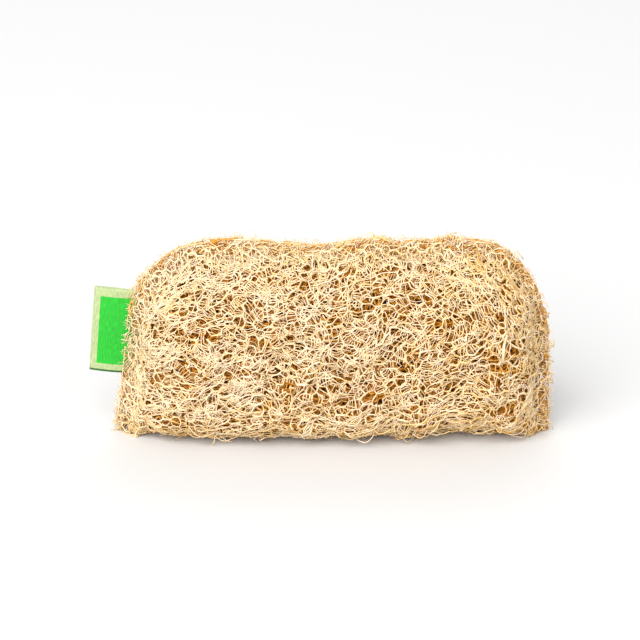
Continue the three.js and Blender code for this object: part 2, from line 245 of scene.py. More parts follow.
def tube_mesh(name, batches, body_node, material):
    """Tubes as one mesh. Each batch holds paths (n, m, 3), radii (n, m), a facing (n, 3) that rings are
    turned to, a tone (n, m) and a number of sides; a ring point is the path's point plus the radius
    times the cosine and sine along the two directions square to the path."""
    verts, loops, totals, tones, base = [], [], [], [], 0
    for paths, radii, facing, tone, count in batches:
        n, m, _ = paths.shape
        tangent = unit(np.gradient(paths, axis=1))
        side = unit(np.cross(tangent, facing[:, None, :]))
        up = np.cross(side, tangent)
        angle = 2 * np.pi * np.arange(count) / count
        ring_points = side[:, :, None] * np.cos(angle)[:, None] + up[:, :, None] * np.sin(angle)[:, None]
        points = paths[:, :, None] + radii[:, :, None, None] * ring_points
        points[..., 2] = np.maximum(points[..., 2], TABLE_GAP)
        verts.append(points.reshape(-1, 3))
        tones.append(np.repeat(tone.reshape(-1), count))
        index = base + np.arange(n * m * count).reshape(n, m, count)
        turned = np.roll(index, -1, axis=2)
        quads = np.stack([index[:, :-1], index[:, 1:], turned[:, 1:], turned[:, :-1]], axis=-1).reshape(-1)
        loops += [quads, index[:, 0, :].reshape(-1), index[:, -1, ::-1].reshape(-1)]
        totals += [np.full(len(quads) // 4, 4), np.full(2 * n, count)]
        base += n * m * count
    verts, loops, totals = np.concatenate(verts) * 0.001, np.concatenate(loops), np.concatenate(totals)
    mesh = bpy.data.meshes.new(name)
    mesh.vertices.add(len(verts))
    mesh.vertices.foreach_set("co", verts.astype(np.float32).ravel())
    mesh.loops.add(len(loops))
    mesh.loops.foreach_set("vertex_index", loops.astype(np.int32))
    mesh.polygons.add(len(totals))
    mesh.polygons.foreach_set("loop_start", (np.cumsum(totals) - totals).astype(np.int32))
    mesh.polygons.foreach_set("use_smooth", np.ones(len(totals), dtype=bool))
    mesh.update(calc_edges=True)
    mesh.validate()
    tone_layer = mesh.attributes.new("tone", "FLOAT", "POINT")
    tone_layer.data.foreach_set("value", np.concatenate(tones).astype(np.float32))
    mesh.materials.append(material)
    obj = linked(name, mesh)
    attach(obj, "root")
    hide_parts(body_node)
    print(f"{name}: {sum(len(b[0]) for b in batches)} tubes, {int((totals - 2).sum())} triangles")


# %% [markdown]
# ## The nets
# A net starts as a staggered grid of jittered points. Every triangle of the grid is a knot, and each
# two triangles that share a side are joined by a strand, so three strands meet at each knot. At each
# knot, the two strands that lie nearest to one line run through it as one fibre, and the third ends on
# them. A web is a net of such veins whose cells are filled with parallel rungs, as the loofah's outer
# layer is.

# %% Net
ROW_SHARE, TANGENT_SHARE, KEPT_STRANDS = 0.866, 0.6, 0.89
# A strand's tone rises by 0.12 for each millimetre it lies below the skin: painted shade of the depths.
WEB_DEPTH, DEPTH_SHADE_RISE = 0.1, 0.12
RUNG_LINES, RUNG_SHIFT, RUNG_OVERLAP, RUNG_SAG, SHORTEST_RUNG = 5, 0.28, 0.12, 0.22, 0.45
RUN_WAVES, RIGHT_END, RIGHT_TURN = 38, 27, 1.5


def staggered_sites(own, width, height, cell, jitter, stretch=1.0):
    """Sites (rows + 1, cols, 2) of a staggered grid over width by height, each moved by a share of its
    cell. The cells are wider than high by the square of stretch."""
    rows = max(4, round(width / (ROW_SHARE * cell * stretch)))
    cols = max(3, round(height / cell * stretch))
    i, j = np.meshgrid(np.arange(rows + 1), np.arange(cols), indexing="ij")
    u = (i + own.uniform(-jitter, jitter, i.shape)) / rows * width
    v = (j + i % 2 / 2 + own.uniform(-jitter, jitter, i.shape)) / cols * height
    return np.stack([u, v], axis=-1)


def dual_net(sites, height, wrap=True):
    """Knots (N, 2) and strands (E, 2) of the dual of a grid of sites that is round in height."""
    rows, cols = len(sites) - 1, sites.shape[1]
    following = np.roll(sites, -1, axis=1)
    following[:, -1, 1] += height
    a, b, c, d = sites[:-1], following[:-1], sites[1:], following[1:]
    odd = (np.arange(rows) % 2 == 1)[:, None, None]
    first = (a + c + np.where(odd, d, b)) / 3
    second = (b + d + np.where(odd, a, c)) / 3
    knots = np.concatenate([first.reshape(-1, 2), second.reshape(-1, 2)])
    t0 = np.arange(rows * cols).reshape(rows, cols)
    t1 = t0 + rows * cols
    rises = np.where(np.arange(1, rows)[:, None] % 2, t1[1:], t0[1:])
    falls = np.where(np.arange(1, rows)[:, None] % 2, t1[:-1], t0[:-1])
    pairs = [(t0, t1), (t0, np.roll(t1, 1, axis=1)), (rises, falls)]
    strands = np.concatenate([np.stack([x.ravel(), y.ravel()], axis=1) for x, y in pairs])
    if not wrap:
        strands = strands[np.abs(knots[strands[:, 0], 1] - knots[strands[:, 1], 1]) < height / 2]
    return knots, strands


def strand_ends(knots, strands, height):
    """Directions at both ends of each strand: the through pair of each knot shares one tangent, and the
    third strand keeps its own."""
    delta = knots[strands[:, 1]] - knots[strands[:, 0]]
    delta[:, 1] -= height * np.round(delta[:, 1] / height)
    count = len(strands)
    ends = np.concatenate([strands[:, 0], strands[:, 1]])
    away = unit(np.concatenate([delta, -delta]))
    order = np.argsort(ends, kind="stable")
    start = np.searchsorted(ends[order], np.arange(len(knots)))
    full = np.flatnonzero(np.bincount(ends, minlength=len(knots)) == 3)
    trio = order[start[full][:, None] + np.arange(3)]
    direction = away[trio]
    dots = np.stack([(direction[:, k] * direction[:, (k + 1) % 3]).sum(-1) for k in range(3)], axis=1)
    best = dots.argmin(axis=1)
    rows = np.arange(len(full))
    x, y = trio[rows, best], trio[rows, (best + 1) % 3]
    line = unit(away[x] - away[y])
    away[x], away[y] = line, -line
    return delta, away[:count], away[count:]


def net_batch(own, net, height, place, depth, radius, steps, tone, rough, swell):
    """Strands of a net as tubes. Each is a cubic Hermite curve between its knots' points in the chart,
    carried onto the skin by place(u, v, out), and thickest at the knots by swell. Rough is how uneven
    its height is. One strand in nine is left out, so that some cells run together."""
    knots, strands = net
    delta, start, end = strand_ends(knots, strands, height)
    kept = own.uniform(size=len(strands)) < KEPT_STRANDS
    strands, delta, start, end = strands[kept], delta[kept], start[kept], end[kept]
    n, first, last = len(strands), strands[:, :1], strands[:, 1:]
    t = shares(steps)
    s = t[..., None]
    length = np.linalg.norm(delta, axis=1)[:, None, None]
    h10, h11, h01 = s**3 - 2 * s**2 + s, s**3 - s**2, 3 * s**2 - 2 * s**3
    pull = TANGENT_SHARE * length
    bend = pull * (h10 * start[:, None, :] - h11 * end[:, None, :])
    chart = knots[first] + h01 * delta[:, None, :] + bend
    heights = own.normal(0, rough, len(knots))
    lift = own.normal(0, rough, (n, 1)) * 4 * (t * (1 - t))
    out = -depth + (1 - t) * heights[first] + t * heights[last] + lift
    points, normals = place(chart[..., 0], chart[..., 1], out)
    sizes = varied(own, radius, 0.28, len(knots))
    thick = (1 - t) * sizes[first] + t * sizes[last]
    thick = thick * (1 + (swell - 1) * (2 * t - 1) ** 4) * varied(own, 1, 0.12, (n, 1))
    # Painted shade: the deeper a strand lies, the higher its tone.
    tones = tone + own.normal(0, 0.12, (n, 1)) - DEPTH_SHADE_RISE * out
    return points, thick, normals[:, steps // 2], tones, SIDES


def neighbours(sites, wide, high, height):
    """Steps (N, 6, 2) from each site to the six round it, by the short way round."""
    rows = len(sites) - 1
    odd = (np.arange(rows + 1) % 2 == 1)[:, None, None]

    def beside(row_step):
        """The two sites of the row before or after; past the ends they lie one cell on."""
        moved = np.roll(sites, -row_step, axis=0)
        near = np.where(odd, moved, np.roll(moved, 1, axis=1))
        far = np.where(odd, np.roll(moved, -1, axis=1), moved)
        end = -1 if row_step > 0 else 0
        for k, one in enumerate((near, far)):
            one[end] = sites[end] + [row_step * ROW_SHARE * wide, (k - 0.5) * high]
        return [near, far]

    around = [np.roll(sites, 1, axis=1), np.roll(sites, -1, axis=1), *beside(1), *beside(-1)]
    delta = np.stack([one - sites for one in around], axis=2).reshape(-1, 6, 2)
    delta[..., 1] -= height * np.round(delta[..., 1] / height)
    return delta


def rungs(own, centre, delta, angle, spacing, fan):
    """Parallel lines across each cell, cut where they leave it. A line's cut is where it crosses the
    upright middle line between the cell's site and one of its neighbours. Gives starts, ends and the
    cell of each."""
    n = len(centre)
    shift = own.uniform(-RUNG_SHIFT, RUNG_SHIFT, (n, 2 * RUNG_LINES + 1))
    offset = (np.arange(-RUNG_LINES, RUNG_LINES + 1) + shift) * spacing[:, None]
    turned = angle[:, None] + fan[:, None] * offset
    base = offset[..., None] * np.stack([-np.sin(angle), np.cos(angle)], axis=-1)[:, None, :]
    way = np.stack([np.cos(turned), np.sin(turned)], axis=-1)
    slope = np.einsum("nld,nkd->nlk", way, delta)
    room = np.einsum("nlkd,nkd->nlk", delta[:, None] / 2 - base[:, :, None], delta)
    with np.errstate(divide="ignore"):
        limit = room / slope
    high = np.where(slope > 0, limit, np.inf).min(axis=2)
    low = np.where(slope < 0, limit, -np.inf).max(axis=2)
    whole = (high - low > SHORTEST_RUNG * spacing[:, None]) & (high - low < 3 * np.abs(delta).max())
    cell_of = np.broadcast_to(np.arange(n)[:, None], whole.shape)[whole]
    start = (centre[:, None] + base + (low - RUNG_OVERLAP)[..., None] * way)[whole]
    end = (centre[:, None] + base + (high + RUNG_OVERLAP)[..., None] * way)[whole]
    return start, end, cell_of


def rung_batch(own, start, end, bow, radius, place):
    """Rungs as tubes of two steps: their middle is pushed aside by a share of their length, and sinks."""
    delta = end - start
    aside = np.stack([-delta[:, 1], delta[:, 0]], axis=-1)
    t = shares(2)
    s = t[..., None]
    chart = start[:, None] + s * delta[:, None] + 4 * s * (1 - s) * (bow[:, None] * aside)[:, None]
    n = len(start)
    out = -WEB_DEPTH + own.normal(0, 0.12, (n, 1))
    out = out - RUNG_SAG * own.uniform(0.2, 1.6, (n, 1)) * 4 * (t * (1 - t))
    points, normals = place(chart[..., 0], chart[..., 1], out)
    thick = varied(own, radius, 0.2, (n, 1)) * (1.25 - 0.45 * 4 * (t * (1 - t)))
    # Painted shade: the deeper a rung lies, the higher its tone.
    tones = own.normal(0, 0.12, (n, 1)) - DEPTH_SHADE_RISE * out
    return points, thick, normals[:, 1], tones, SIDES


def relief(u, v):
    """Unevenness of the skin at the size of fibre tufts: two sets of waves, in millimetres."""
    points = read(POINTS, u, v)
    return 0.55 * waves(points, 16, 1) + 0.4 * waves(points, 6, 2)


def on_skin(u, v, out):
    """The skin with its relief, moved out along its normal and no lower than the table."""
    normals = unit(read(NORMALS, u, v))
    points = read(POINTS, u, v) + normals * (out + relief(u, v))[..., None]
    points[..., 2] = np.maximum(points[..., 2], 0.2 + 0.1 * np.sin(5 * points[..., 0]))
    return points, normals


def is_left(u):
    """1 over the left half, 0 over the right, with a soft change between."""
    return 1 / (1 + np.exp((u - 0.47 * ACROSS) / 6))


def run(u, v):
    """The local run of the fibres, as an angle from the sponge's length: slow waves, wider on the
    right, and upright at the right end."""
    upright = 1 / (1 + np.exp((ACROSS - RIGHT_END - u) / 4))
    swing = (0.3 + 0.9 * (1 - is_left(u))) * waves(read(POINTS, u, v), RUN_WAVES, 5)
    return swing * (1 - 0.5 * upright) + RIGHT_TURN * upright


def web_batches(
    own, width, height, cell, place, run_at, open_at, vein=0.25, rung=0.2, gap=1.15, stretch=1.0, warp=0.0
):
    """A web that lies in one sheet: veins round its cells, and across each cell a family of parallel
    rungs, in most cells crossed by a second and wider one. Slow waves carry the cells' sites aside by
    up to the warp."""
    sites = staggered_sites(own, width, height, cell, 0.5, stretch)
    inner = np.sin(np.pi * np.clip(sites[..., :1] / width, 0, 1)) ** 0.3
    sites = sites + warp * inner * np.stack([waves(sites, 24, seed) for seed in (61, 62)], axis=-1)
    net = dual_net(sites, height, wrap=False)
    batches = [net_batch(own, net, height, place, WEB_DEPTH, vein, 3, 0.0, rough=0.16, swell=1.5)]
    delta, centre = neighbours(sites, cell * stretch, cell / stretch, height), sites.reshape(-1, 2)
    n = len(centre)
    angle = run_at(centre[:, 0], centre[:, 1]) + own.normal(0, 0.55, n)
    spacing = np.clip(varied(own, gap, 0.22, n), 0.75, 1.9)
    fan, bow = own.normal(0, 0.09, n), own.normal(0, 0.15, n)
    is_open = own.uniform(size=n) < open_at(centre[:, 0], centre[:, 1])
    families = ((0, spacing, (0.2, 0.93)), (1.25, 1.7 * spacing, (0.25, 0.55)))
    for turn, apart, kept in families:
        start, end, cell_of = rungs(own, centre, delta, angle + turn * own.choice([-1, 1], n), apart, fan)
        stays = own.uniform(size=len(cell_of)) < np.where(is_open, *kept)[cell_of]
        low, high = np.minimum(start, end), np.maximum(start, end)
        stays &= ((low > -2) & (high < [width, height])).all(axis=1)
        batches.append(rung_batch(own, start[stays], end[stays], bow[cell_of[stays]], rung, place))
    return batches


# %% [markdown]
# ## Long fibres
# Over the nets run long fibres in small bundles that nearly follow the local run: along the sponge on
# its left, and every way on its right. A fibre's heading is its first one plus a steady turn and a slow
# swing, and its path is the running sum of its steps.

# %% Fibres
BUNDLE_U = (-4, ACROSS + 4)
FOLD_BAND, FOLD_CROWDING = 20, 1.3


def wander(own, start, heading, length, steps, curl, swing):
    """Paths (n, steps + 1, 2): the running sum of steps along heading + turn * s + swing * sin(wave)."""
    n = len(start)
    s = shares(steps) * length[:, None]
    phase = own.uniform(0, 2 * np.pi, (n, 1))
    angle = heading[:, None] + own.normal(0, curl, (n, 1)) * s
    angle = angle + own.normal(0, swing, (n, 1)) * np.sin(2 * np.pi * s / own.uniform(4, 11, (n, 1)) + phase)
    stride = np.stack([np.cos(angle), np.sin(angle)], axis=-1) * (length / steps)[:, None, None]
    return start[:, None, :] + np.cumsum(stride, axis=1) - stride[:, :1]


def scattered(own, count, u_range, v_range):
    """Random places (count, 2) of a chart."""
    return np.column_stack([own.uniform(*u_range, count), own.uniform(*v_range, count)])


def bundle_starts(own, count, v_range, per_bundle, gap, spread, thinned=0.0):
    """First points and headings of fibres that start side by side in bundles, gap apart, with a share
    of the bundles of the right half and of the fold left out."""
    bundles = max(1, count // per_bundle)
    u, v = own.uniform(*BUNDLE_U, bundles), own.uniform(*v_range, bundles)
    crowded = np.maximum(1 - is_left(u), FOLD_CROWDING * (np.abs(v - AROUND / 2) < FOLD_BAND))
    kept = own.uniform(size=bundles) < 1 - thinned * crowded
    u, v, bundles = u[kept], v[kept], int(kept.sum())
    heading = run(u, v) + own.normal(0, spread, bundles) + np.pi * own.integers(0, 2, bundles)
    apart = (np.arange(per_bundle) - (per_bundle - 1) / 2) * gap
    aside = apart * own.uniform(0.6, 1.5, (bundles, per_bundle))
    back = own.uniform(-3, 3, (bundles, per_bundle))
    c, d = np.cos(heading)[:, None], np.sin(heading)[:, None]
    start = np.stack([u[:, None] - aside * d + back * c, v[:, None] + aside * c + back * d], axis=-1)
    headings = heading[:, None] + own.normal(0, 0.13, (bundles, per_bundle))
    return start.reshape(-1, 2), headings.ravel()


def placed_tubes(own, place, chart, out, radius, spread, profile, tone, tone_spread):
    """Tubes along paths of a chart, out from the face that place gives. Each has a radius of its own,
    times the profile along it, and a tone of its own."""
    points, normals = place(chart[..., 0], chart[..., 1], out)
    n, m = chart.shape[:2]
    thick = varied(own, radius, spread, (n, 1)) * profile
    tones = tone + own.normal(0, tone_spread, (n, 1)) + 0 * thick
    return points, thick, normals[:, (m - 1) // 2], tones, SIDES


def fibre_batch(own, starts, length, radius, depth, weave, steps, tone, curl, swing, ends=0.0):
    """Long fibres as tubes: thinner at their ends, waving up and down, and with ends that stand off."""
    start, heading = starts
    length = varied(own, length, 0.35, len(start))
    chart = wander(own, start, heading, length, steps, curl, swing)
    inside = (chart[..., 0].min(axis=1) > 0.5) & (chart[..., 0].max(axis=1) < ACROSS - 0.5)
    chart, length = chart[inside], length[inside]
    n, t = len(chart), shares(steps)
    cycles = length[:, None] / own.uniform(3, 7, (n, 1))
    out = weave * np.sin(2 * np.pi * cycles * t + own.uniform(0, 2 * np.pi, (n, 1)))
    out = out - own.uniform(*depth, (n, 1)) + ends * own.exponential(1, (n, 1)) * (2 * t - 1) ** 4
    profile = 0.5 + 0.5 * np.sqrt(np.sin(np.pi * np.clip(t, 0.02, 0.98)))
    return placed_tubes(own, on_skin, chart, out, radius, 0.25, profile, tone, 0.16)


def star_batch(own, count, v_range, arms, length, radius, depth, steps, tone):
    """Stars: arms that leave one knot at nearly even angles and run out over the skin."""
    centre = scattered(own, count, (6, ACROSS - 6), v_range)
    heading = 2 * np.pi * (np.arange(arms)[None, :] + own.uniform(-0.3, 0.3, (count, arms))) / arms
    heading = (heading + own.uniform(0, 2 * np.pi, (count, 1))).ravel()
    start = np.repeat(centre, arms, axis=0)
    reach = varied(own, length, 0.3, len(start))
    chart = wander(own, start, heading, reach, steps, 0.04, 0.2)
    t = shares(steps)
    depths = own.uniform(*depth, (count, 1)).repeat(arms, axis=0)
    out = -depths - 0.5 * t**2 + 0.1 * own.normal(size=(len(start), 1)) * t
    return placed_tubes(own, on_skin, chart, out, radius, 0.2, 1 - 0.45 * t, tone, 0.12)


def fuzz_batch(own, count, length, height, radius, steps, tone):
    """Short fibres that leave the skin: out grows with a power of the share of their length."""
    start = scattered(own, count, (1, ACROSS - 1), (0, AROUND))
    reach = varied(own, length, 0.4, count)
    chart = wander(own, start, own.uniform(0, 2 * np.pi, count), reach, steps, 0.12, 0.5)
    t = shares(steps)
    out = -0.3 + height * own.gamma(2, 0.5, (count, 1)) * t**1.6
    batch = placed_tubes(own, on_skin, chart, out, radius, 0.25, 1 - 0.6 * t, tone, 0.15)
    points, thick, normals, tones, _ = batch
    facing = unit(np.cross(normals, unit(points[:, -1] - points[:, 0])))
    return points, thick, facing, tones, SIDES


def loop_batch(own, places, v, height, length, radius, steps, tone):
    """Loose curls: they leave the skin and come back, as high as the sine of half a turn times a height."""
    n = len(places)
    start = np.column_stack([places + own.normal(0, 0.8, n), v + own.normal(0, 2, n)])
    heading = own.normal(0, 0.5, n) + np.pi * own.integers(0, 2, n)
    reach = varied(own, length, 0.3, n)
    chart = wander(own, start, heading, reach, steps, 0.12, 0.5)
    t = shares(steps)
    out = 0.2 + height * own.uniform(0.5, 1.3, (n, 1)) * np.sin(np.pi * t)
    return placed_tubes(own, on_skin, chart, out, radius, 0.15, 1 + 0 * t, tone, 0.1)


# %% [markdown]
# ## The flange
# Outside the seam both layers lie flat and end in a frayed cut edge. Its chart is t mm along the sewn
# sides and w mm in from the cut edge. Webs and fibres that reach the seam climb onto the pillow's rim,
# so its thickness is kept as a map over the seam's plane.

# %% Flange chart
CUT = along(sewn_line(0), np.linspace(0, 1, 800))
CUT_REACH = reaches(CUT)
SEWN = CUT_REACH[-1]
ALONG_EDGE = (0.5, SEWN - 0.5)
CUT_RUN = unit(np.gradient(CUT, axis=0))
CUT_OUT = np.column_stack([-CUT_RUN[:, 1], CUT_RUN[:, 0]])
print(f"Sewn sides: {SEWN:.0f} mm")

# Humps and dips of the cut edge along the top: where, how wide and how high
HUMPS = np.array([(-31, 7, 0.8), (-20, 5, -0.8), (-5, 8, -2.0), (15, 5, 0.8), (23, 4, -0.8), (40, 4, 1.5)])
HUMPS_FROM, HUMPS_FADE, UNEVEN_DEPTH = 62, 5, 8
TRIM_X, TRIM_Z, TRIM_REACH, TRIM = 68, 52, 15, 1.4

# The thickness map's squares of 1 mm, and where the seam's plane begins on it
MAP_SIZE, MAP_X, MAP_Z = (161, 81), 80, 4


def uneven(x, z):
    """How far the cut edge stands out: bell curves along the top, less one round the right corner."""
    along_top = (HUMPS[:, 2] * bell(x[..., None], HUMPS[:, 0], HUMPS[:, 1])).sum(axis=-1)
    corner = TRIM * np.exp(-((x - TRIM_X) ** 2 + (z - TRIM_Z) ** 2) / TRIM_REACH**2)
    return along_top * np.clip((z - HUMPS_FROM) / HUMPS_FADE, 0, 1) - corner


def on_flange(t, w, y):
    """The point w in from the cut edge at t along it, at the depth y."""
    x, z, ox, oz = [np.interp(t, CUT_REACH, c) for c in (*CUT.T, *CUT_OUT.T)]
    w = w - uneven(x, z) * np.clip(1 - w / UNEVEN_DEPTH, 0, 1)
    return np.stack([x - ox * w, y, np.maximum(z - oz * w, 0.25)], axis=-1)


def height_map():
    """Half thickness of the pillow over squares of 1 mm of the seam's plane: the mean of the skin's
    points in each square and the eight round it."""
    front = POINTS[:, : ROWS // 2].reshape(-1, 3)
    place = (np.round(front[:, 0] + MAP_X).astype(int), np.round(front[:, 2] + MAP_Z).astype(int))
    total, count = np.zeros(MAP_SIZE), np.zeros(MAP_SIZE)
    np.add.at(total, place, -front[:, 1])
    np.add.at(count, place, 1)
    shifts = [(i, j) for i in (-1, 0, 1) for j in (-1, 0, 1)]
    total, count = [sum(np.roll(one, shift, axis=(0, 1)) for shift in shifts) for one in (total, count)]
    return total / np.maximum(count, 1)


HEIGHTS = height_map()


def flange_side(side):
    """The outer face of the flange, and of the pillow's rim inside the seam, as a place for webs."""

    def place(t, w, out):
        """The point at t and w, at the larger of the flange's and the pillow's half thickness. A bridge
        climbs from one to the other and falls away behind the rim."""
        points = on_flange(t, w, 0 * out)
        column = np.clip(points[..., 0] + MAP_X, 0, MAP_SIZE[0] - 2)
        row = np.clip(points[..., 2] + MAP_Z, 0, MAP_SIZE[1] - 2)
        i, j = column.astype(int), row.astype(int)
        a, b = column - i, row - j
        lower, upper = [(1 - a) * HEIGHTS[i, n] + a * HEIGHTS[i + 1, n] for n in (j, j + 1)]
        pillow = (1 - b) * lower + b * upper
        flat_part = 1.2 + 0.8 * np.clip(w / 2, 0, 1)
        bridge = 1.3 + 0.95 * np.clip(w - 1.2, 0, 6.3) - 3 * np.clip(w - 7.5, 0, 2)
        points[..., 1] = side * (np.maximum(np.maximum(flat_part, bridge), pillow + 0.2) + out)
        return points, np.broadcast_to([0.0, side, 0.0], points.shape)

    return place


def edge_tubes(own, points, radius, spread, profile, turned, tone):
    """Tubes along paths of the flange. Their rings face the front, each turned a little at random."""
    n = len(points)
    thick = varied(own, radius, spread, (n, 1)) * profile
    facing = [0.0, 1.0, 0.0] + own.normal(0, turned, (n, 3))
    return points, thick, facing, tone + own.normal(0, 0.15, (n, 1)) + 0 * thick, SIDES


def flange_batch(own, count, length, radius, steps, tone, inward, slope, depth):
    """Fibres of the flange: they start between two distances inward, headed slope from the edge's run."""
    start = scattered(own, count, ALONG_EDGE, inward)
    heading = own.normal(slope, 0.55, count) * own.choice([-1, 1], count)
    reach = varied(own, length, 0.35, count)
    chart = wander(own, start, heading, reach, steps, 0.06, 0.3)
    t = shares(steps)
    level = own.uniform(-depth, depth, (count, 1))
    y = level + 0.35 * np.sin(2 * np.pi * (t * reach[:, None] / 5 + own.uniform(size=(count, 1))))
    w = np.clip(chart[..., 1], 0.1, 7)
    points = on_flange(chart[..., 0], w, y * np.clip(0.7 + 0.15 * w, 0.7, 1.1))
    profile = 0.5 + 0.5 * np.sin(np.pi * np.clip(t, 0.05, 0.95))
    return edge_tubes(own, points, radius, 0.25, profile, 0.05, tone)


def crossing_batch(own, count, side, length, radius, steps, tone):
    """Fibres that run from the pillow's rim over the seam and out over the flange."""
    start = scattered(own, count, ALONG_EDGE, (5.5, 9))
    reach = varied(own, length, 0.25, count)
    heading = own.choice([-0.7, -2.44], count) + own.normal(0, 0.4, count)
    chart = wander(own, start, heading, reach, steps, 0.08, 0.3)
    chart[..., 1] = np.maximum(chart[..., 1], 0.1)
    t = shares(steps)
    out = 0.1 + own.uniform(-0.3, 0.4, (count, 1)) - 0.5 * (2 * t - 1) ** 4
    profile = 0.6 + 0.4 * np.sin(np.pi * np.clip(t, 0.05, 0.95))
    return placed_tubes(own, flange_side(side), chart, out, radius, 0.25, profile, tone, 0.15)


def fray_batch(own, count, length, radius, steps, tone, depth):
    """Loose ends at the cut edge: they start inside it and run out, bending as they go."""
    start = scattered(own, count, ALONG_EDGE, (0.2, 2.5))
    heading = -np.pi / 2 + own.normal(0, 0.6, count)
    reach = varied(own, length, 0.4, count)
    chart = wander(own, start, heading, reach, steps, 0.25, 0.6)
    t = shares(steps)
    y = own.uniform(-depth, depth, (count, 1)) + own.normal(0, 1.2, (count, 1)) * t**1.5
    points = on_flange(chart[..., 0], np.maximum(chart[..., 1], -1.8), y)
    return edge_tubes(own, points, radius, 0.2, 1 - 0.55 * t, 0.1, tone)


# %% [markdown]
# ## Materials
# Dry loofah is pale straw outside and golden brown in its depths, where light has met many strands on its
# way. A render's few bounces would leave that to chance, so each strand carries a tone, which is higher for
# deep ones as painted shade, and a ramp turns it into a colour, with a soft noise. Place adds painted shade
# too: the strands at the right end and along the lowest band get a higher tone, so they are more golden.
# The photo's right and lowest parts are more golden, so place adds to the tone of strands there.

# %% Materials
PALE, STRAW, GOLD, BROWN = (0.93, 0.74, 0.51), (0.87, 0.63, 0.30), (0.78, 0.43, 0.10), (0.62, 0.26, 0.025)


def plain_material(name, colour, roughness):
    """A Principled material with its constants on the sockets."""
    material = bpy.data.materials.new(name)
    material.use_nodes = True
    shader = material.node_tree.nodes["Principled BSDF"]
    shader.inputs["Base Color"].default_value = (*colour, 1)
    shader.inputs["Roughness"].default_value = roughness
    return material, shader


def add_node(tree, kind, output, inputs, **settings):
    """An output of a new shader node. Each input is a constant, or another node's output to follow."""
    node = tree.nodes.new("ShaderNode" + kind)
    for name, value in settings.items():
        setattr(node, name, value)
    for socket, value in inputs.items():
        if isinstance(value, bpy.types.NodeSocket):
            tree.links.new(value, node.inputs[socket])
        else:
            node.inputs[socket].default_value = value
    return node.outputs[output]


def maths(tree, operation, *values):
    """The result of one operation on values."""
    return add_node(tree, "Math", "Value", dict(enumerate(values)), operation=operation)


def map_range(tree, value, source, target, kind="LINEAR"):
    """A value carried from its source range onto a target range."""
    ends = dict(zip(("From Min", "From Max", "To Min", "To Max"), (*source, *target)))
    return add_node(tree, "MapRange", "Result", {"Value": value, **ends}, interpolation_type=kind)


def colour_ramp(tree, value, stops, kind="LINEAR"):
    """The colour that a ramp gives to a value. Its stops are positions and colours, from the lowest."""
    colour = add_node(tree, "ValToRGB", "Color", {"Fac": value})
    ramp = colour.node.color_ramp
    ramp.interpolation = kind
    for element, (position, stop) in zip(ramp.elements, (stops[0], stops[-1])):
        element.position, element.color = position, (*stop, 1)
    for position, stop in stops[1:-1]:
        ramp.elements.new(position).color = (*stop, 1)
    return colour


def fibre_material():
    """Pale straw to brown, by 0.5 of the noise plus the strand's tone, plus the painted shade of the place,
    at the right end and along the base, times the tone and a quarter."""
    material, shader = plain_material("loofah_fibre", STRAW, 0.62)
    tree = material.node_tree
    # The tone attribute holds each strand's random tone plus the painted shade of its depth.
    tone = add_node(tree, "Attribute", "Fac", {}, attribute_name="tone")
    place = add_node(tree, "TexCoord", "Object", {})
    noise = add_node(tree, "TexNoise", "Fac", {"Vector": place, "Scale": 90, "Detail": 3})
    x, z = [add_node(tree, "SeparateXYZ", axis, {"Vector": place}) for axis in "XZ"]
    # Painted shade: the tone rises towards the right end, from x 10 to 80 mm, and along the lowest 16 mm.
    right_end_painted_shade = map_range(tree, x, (0.01, 0.08), (0.0, 0.45), "SMOOTHSTEP")
    low_band_painted_shade = map_range(tree, z, (0.016, 0.0), (0.0, 0.5), "SMOOTHSTEP")
    everywhere = maths(tree, "MULTIPLY_ADD", noise, 0.5, tone)
    painted_shade_by_place = maths(tree, "ADD", right_end_painted_shade, low_band_painted_shade)
    total = maths(tree, "MULTIPLY_ADD", painted_shade_by_place, maths(tree, "ADD", tone, 0.25), everywhere)
    colour = colour_ramp(tree, total, [(0.15, PALE), (0.45, STRAW), (0.78, GOLD), (1.0, BROWN)])
    tree.links.new(colour, shader.inputs["Base Color"])
    shader.inputs["Specular IOR Level"].default_value = 0.2
    return material


FIBRE = fibre_material()
print(f"Material {FIBRE.name}: {len(FIBRE.node_tree.nodes)} nodes")

# %% [markdown]
# ## Growing the sponge
# On each side a web of veins and rungs is the outer layer, with some of its cells left open. A net of thicker
# strands lies under both, its golden tone painted shade of the depth. The webs are wider than their sides, so
# that they meet over the top and under the fold.

# %% The pillow's nets
FRONT, BACK, OVERLAP = (0, AROUND / 2), (AROUND / 2, AROUND), 1.5
CHART_CORNERS, CORNER_REACH, CORNER_SHARE = np.array([LEFT[-1], RIGHT[-1]]), 4.5, 0.55
RIGHT_FLANGE_X, RIGHT_FLANGE_SHARE = 57, 0.5


def loofah_mesh(name, batches):
    """Tubes that are part of the loofah, as one mesh."""
    tube_mesh(name, batches, "luffa_body", FIBRE)


def open_share(u, v):
    """The share of cells left open: more of them in patches, at the right end and by the fold."""
    patches = 0.2 * (waves(read(POINTS, u, v), 15, 7) > 0.55)
    by_fold = 0.25 * (np.abs(v - AROUND / 2) < 17)
    return 0.12 + patches + np.maximum(0.25 * (u > ACROSS - 22), by_fold)


def shifted(task, start):
    """A function of the whole chart, as one of a chart that begins at start."""
    return lambda u, v, *out: task(u, v + start, *out)


def near_corners(place):
    """Whether a place is near one of the two corners of the chart, where its cells are squeezed."""
    return np.linalg.norm(place[:, None, [0, 2]] - CHART_CORNERS, axis=-1).min(axis=1) < CORNER_REACH


def at_right_end(place):
    """Whether a place is at the right end, where the flange is more open."""
    return place[:, 0] > RIGHT_FLANGE_X


